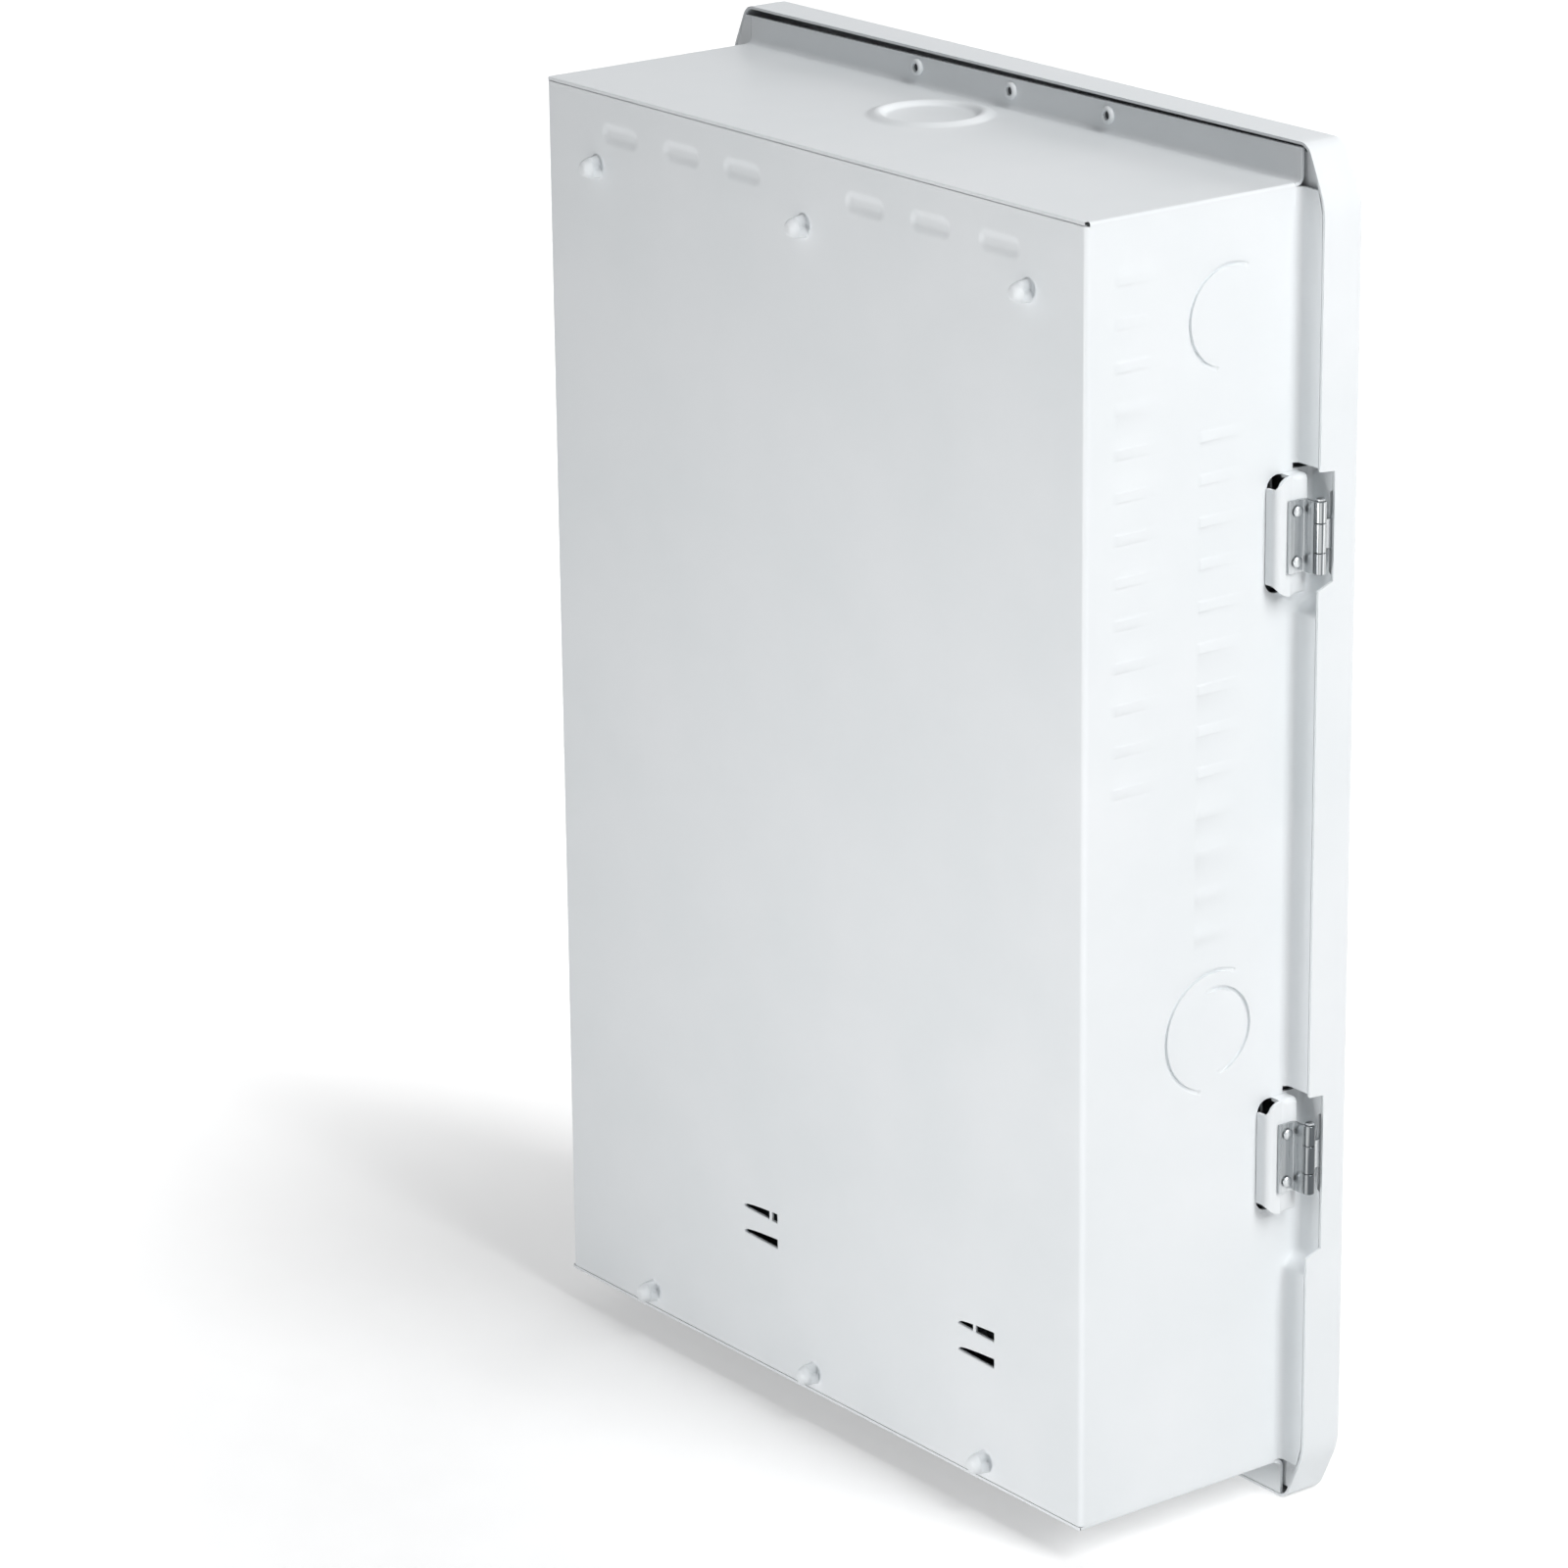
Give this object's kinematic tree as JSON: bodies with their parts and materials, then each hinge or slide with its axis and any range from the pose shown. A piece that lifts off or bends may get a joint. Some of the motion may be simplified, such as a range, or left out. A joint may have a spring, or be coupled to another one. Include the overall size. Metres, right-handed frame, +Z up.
{
  "type": "residential load center",
  "caption": "White wall-mounted residential load center: sheet-metal box with conduit hub and knockouts, hinged door with latch, breakers on bus bars.",
  "frame": {"origin": "middle of the box in the plane of the wall, which the tips of the standoff bosses touch", "axes": "+Z up, +Y towards the wall, so the door faces -Y; the hinges are on the -X side"},
  "size_m": [0.4007, 0.1566, 0.5988],
  "materials": {
    "white_paint": "white powder coat, satin",
    "zinc_steel": "zinc plated",
    "galvanised": "galvanised sheet",
    "grey_paint": "grey powder coat, satin",
    "black_moulding": "moulded, matt",
    "base_moulding": "moulded, matt",
    "tinned_bus": "tin plated",
    "bare_aluminium": "extruded, bare",
    "handle_moulding": "moulded, satin"
  },
  "bodies": {
    "enclosure": {"back_and_sides": "white_paint", "top_endwall": "white_paint", "bottom_endwall": "white_paint", "drip_rail": "white_paint", "drip_rail_rivet_1": "white_paint", "drip_rail_rivet_2": "white_paint", "drip_rail_rivet_3": "white_paint", "upper_hinge_bracket": "white_paint", "lower_hinge_bracket": "white_paint", "upper_box_leaf": "zinc_steel", "lower_box_leaf": "zinc_steel", "upper_hinge_pin": "zinc_steel", "lower_hinge_pin": "zinc_steel", "upper_hinge_rivet_top": "zinc_steel", "upper_hinge_rivet_bottom": "zinc_steel", "lower_hinge_rivet_top": "zinc_steel", "lower_hinge_rivet_bottom": "zinc_steel", "deadfront_screw_1": "zinc_steel", "deadfront_screw_2": "zinc_steel", "deadfront_screw_3": "zinc_steel", "deadfront_screw_4": "zinc_steel", "pan_nut_1": "zinc_steel", "pan_nut_2": "zinc_steel", "pan_nut_3": "zinc_steel", "pan_nut_4": "zinc_steel", "latch_strike": "galvanised", "upper_deadfront_rail": "galvanised", "lower_deadfront_rail": "galvanised", "interior_pan": "galvanised", "deadfront": "grey_paint", "main_breaker": "black_moulding", "branch_breaker_1": "black_moulding", "branch_breaker_2": "black_moulding", "branch_breaker_3": "black_moulding", "branch_breaker_4": "black_moulding", "branch_breaker_5": "black_moulding", "branch_breaker_6": "black_moulding", "bus_base": "base_moulding", "hot_bus_a": "tinned_bus", "hot_bus_b": "tinned_bus", "neutral_bar_left": "bare_aluminium", "neutral_bar_right": "bare_aluminium", "ground_bar": "bare_aluminium", "line_lug_a": "bare_aluminium", "line_lug_b": "bare_aluminium"},
    "door": {"door_pan": "white_paint", "upper_door_leaf": "zinc_steel", "lower_door_leaf": "zinc_steel", "latch_escutcheon": "zinc_steel"},
    "latch": {"latch_knob": "black_moulding", "latch_cam": "zinc_steel", "latch_nut": "zinc_steel"},
    "main_toggle": {"main_handle": "handle_moulding"},
    "branch_toggle_1": {"branch_handle_1": "handle_moulding"},
    "branch_toggle_2": {"branch_handle_2": "handle_moulding"},
    "branch_toggle_3": {"branch_handle_3": "handle_moulding"},
    "branch_toggle_4": {"branch_handle_4": "handle_moulding"},
    "branch_toggle_5": {"branch_handle_5": "handle_moulding"},
    "branch_toggle_6": {"branch_handle_6": "handle_moulding"}
  },
  "joints": [
    {"name": "door_hinge", "type": "hinge", "parent": "enclosure", "child": "door", "pos_m": [-0.1995, -0.121, 0], "axis": [0, 0, -1], "range_deg": [0, 170]},
    {"name": "latch_turn", "type": "hinge", "parent": "door", "child": "latch", "pos_m": [0.158, -0.1445, 0], "axis": [0, -1, 0], "range_deg": [0, 90]},
    {"name": "main_switch", "type": "hinge", "parent": "enclosure", "child": "main_toggle", "pos_m": [0, -0.1112, 0.1707], "axis": [-1, 0, 0], "range_deg": [0, 40]},
    {"name": "branch_switch_1", "type": "hinge", "parent": "enclosure", "child": "branch_toggle_1", "pos_m": [-0.044, -0.113, 0.095], "axis": [0, 0, 1], "range_deg": [0, 40]},
    {"name": "branch_switch_2", "type": "hinge", "parent": "enclosure", "child": "branch_toggle_2", "pos_m": [0.044, -0.113, 0.095], "axis": [0, 0, -1], "range_deg": [0, 40]},
    {"name": "branch_switch_3", "type": "hinge", "parent": "enclosure", "child": "branch_toggle_3", "pos_m": [-0.044, -0.113, 0.0696], "axis": [0, 0, 1], "range_deg": [0, 40]},
    {"name": "branch_switch_4", "type": "hinge", "parent": "enclosure", "child": "branch_toggle_4", "pos_m": [0.044, -0.113, 0.0696], "axis": [0, 0, -1], "range_deg": [0, 40]},
    {"name": "branch_switch_5", "type": "hinge", "parent": "enclosure", "child": "branch_toggle_5", "pos_m": [-0.044, -0.113, 0.0442], "axis": [0, 0, 1], "range_deg": [0, 40]},
    {"name": "branch_switch_6", "type": "hinge", "parent": "enclosure", "child": "branch_toggle_6", "pos_m": [0.044, -0.113, 0.0442], "axis": [0, 0, -1], "range_deg": [0, 40]}
  ]
}
